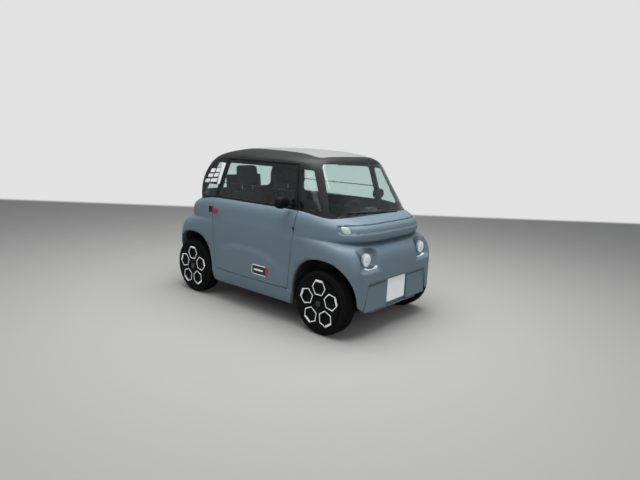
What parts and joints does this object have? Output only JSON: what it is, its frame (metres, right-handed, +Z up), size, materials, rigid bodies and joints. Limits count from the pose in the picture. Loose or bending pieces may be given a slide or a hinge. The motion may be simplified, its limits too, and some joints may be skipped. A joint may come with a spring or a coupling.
{
  "type": "electric microcar",
  "caption": "Short, boxy electric quadricycle with a moulded plastic body, doors hinged at opposite ends, split side windows and covered wheels.",
  "frame": {"origin": "on the ground under the middle of the car", "axes": "+Z up, -Y forward, the car's right side at -X"},
  "size_m": [1.572, 2.4104, 1.5209],
  "materials": {
    "body": "satin blue-grey, coloured right through",
    "black": "satin black",
    "roof_panel": "light grey panel",
    "glass": "tinted",
    "clear": "white lens",
    "red_lens": "red lens",
    "amber": "clear and amber lens",
    "plate": "blank plate",
    "steel": "black painted steel",
    "bare_steel": "machined",
    "tyre": "black rubber",
    "tab": "dark red strap",
    "seat": "dark cloth over foam",
    "floor": "grained black",
    "mirror": "black housing"
  },
  "bodies": {
    "body": {"arch_liners": "black", "battery": "steel", "bumper_inserts": "body", "cabin_frame": "black", "dashboard": "black", "door_hinges": "steel", "drive_shafts": "bare_steel", "driver_pads": "seat", "floor": "floor", "front_body": "body", "headlamps": "clear", "indicators": "amber", "lower_arms": "steel", "motor": "steel", "number_plates": "plate", "passenger_pads": "seat", "quarter_windows": "glass", "rack_housing": "steel", "rear_body": "body", "rear_suspension": "steel", "rear_window": "glass", "roof_panel": "roof_panel", "running_lights": "clear", "seat_shells": "black", "sills": "body", "steering_column": "steel", "strut_bearings": "steel", "tail_lamps": "red_lens", "underframe": "steel", "windscreen": "glass", "wiper": "black"},
    "door_left": {"door_panel_left": "body", "door_frame_left": "black", "door_glass_left": "glass", "door_tab_left": "tab", "door_mirror_left": "mirror"},
    "knuckle_left": {"knuckle_left": "bare_steel"},
    "wheel_front_left": {"tyre_front_left": "tyre", "rim_front_left": "steel", "cover_front_left": "black"},
    "wheel_rear_left": {"tyre_rear_left": "tyre", "rim_rear_left": "steel", "cover_rear_left": "black"},
    "door_right": {"door_panel_right": "body", "door_frame_right": "black", "door_glass_right": "glass", "door_tab_right": "tab", "door_mirror_right": "mirror"},
    "knuckle_right": {"knuckle_right": "bare_steel"},
    "wheel_front_right": {"tyre_front_right": "tyre", "rim_front_right": "steel", "cover_front_right": "black"},
    "wheel_rear_right": {"tyre_rear_right": "tyre", "rim_rear_right": "steel", "cover_rear_right": "black"},
    "steering_wheel": {"steering_wheel": "black"},
    "steering_rack": {"steering_rack": "bare_steel"}
  },
  "joints": [
    {"name": "steer_left", "type": "hinge", "parent": "body", "child": "knuckle_left", "pos_m": [0.565, -0.864, 0.152], "axis": [-0.2729, 0, 0.9621], "range_deg": [-32, 32]},
    {"name": "steer_right", "type": "hinge", "parent": "body", "child": "knuckle_right", "pos_m": [-0.565, -0.864, 0.152], "axis": [0.2729, 0, 0.9621], "range_deg": [-32, 32]},
    {"name": "roll_front_left", "type": "hinge", "parent": "knuckle_left", "child": "wheel_front_left", "pos_m": [0.5905, -0.864, 0.276], "axis": [1, 0, 0], "continuous": true},
    {"name": "roll_rear_left", "type": "hinge", "parent": "body", "child": "wheel_rear_left", "pos_m": [0.5905, 0.864, 0.276], "axis": [1, 0, 0], "continuous": true},
    {"name": "roll_front_right", "type": "hinge", "parent": "knuckle_right", "child": "wheel_front_right", "pos_m": [-0.5905, -0.864, 0.276], "axis": [1, 0, 0], "continuous": true},
    {"name": "roll_rear_right", "type": "hinge", "parent": "body", "child": "wheel_rear_right", "pos_m": [-0.5905, 0.864, 0.276], "axis": [1, 0, 0], "continuous": true},
    {"name": "door_right_swing", "type": "hinge", "parent": "body", "child": "door_right", "pos_m": [-0.655, -0.47887, 0.645], "axis": [0, -0.0858, 0.9963], "range_deg": [0, 75]},
    {"name": "door_left_swing", "type": "hinge", "parent": "body", "child": "door_left", "pos_m": [0.655, 0.47887, 0.645], "axis": [0, 0.0858, 0.9963], "range_deg": [0, 75]},
    {"name": "steering_wheel_turn", "type": "hinge", "parent": "body", "child": "steering_wheel", "pos_m": [0.285, -0.392, 0.872], "axis": [0, 0.891, 0.454], "range_deg": [-450, 450]},
    {"name": "rack_slide", "type": "slide", "parent": "body", "child": "steering_rack", "axis": [1, 0, 0], "range_m": [-0.06, 0.06]}
  ],
  "couplings": [
    {"joint": "steer_right", "follows": "steer_left", "ratio": 1},
    {"joint": "steering_wheel_turn", "follows": "steer_left", "ratio": 14},
    {"joint": "rack_slide", "follows": "steer_left", "m_per_rad": -0.095}
  ]
}
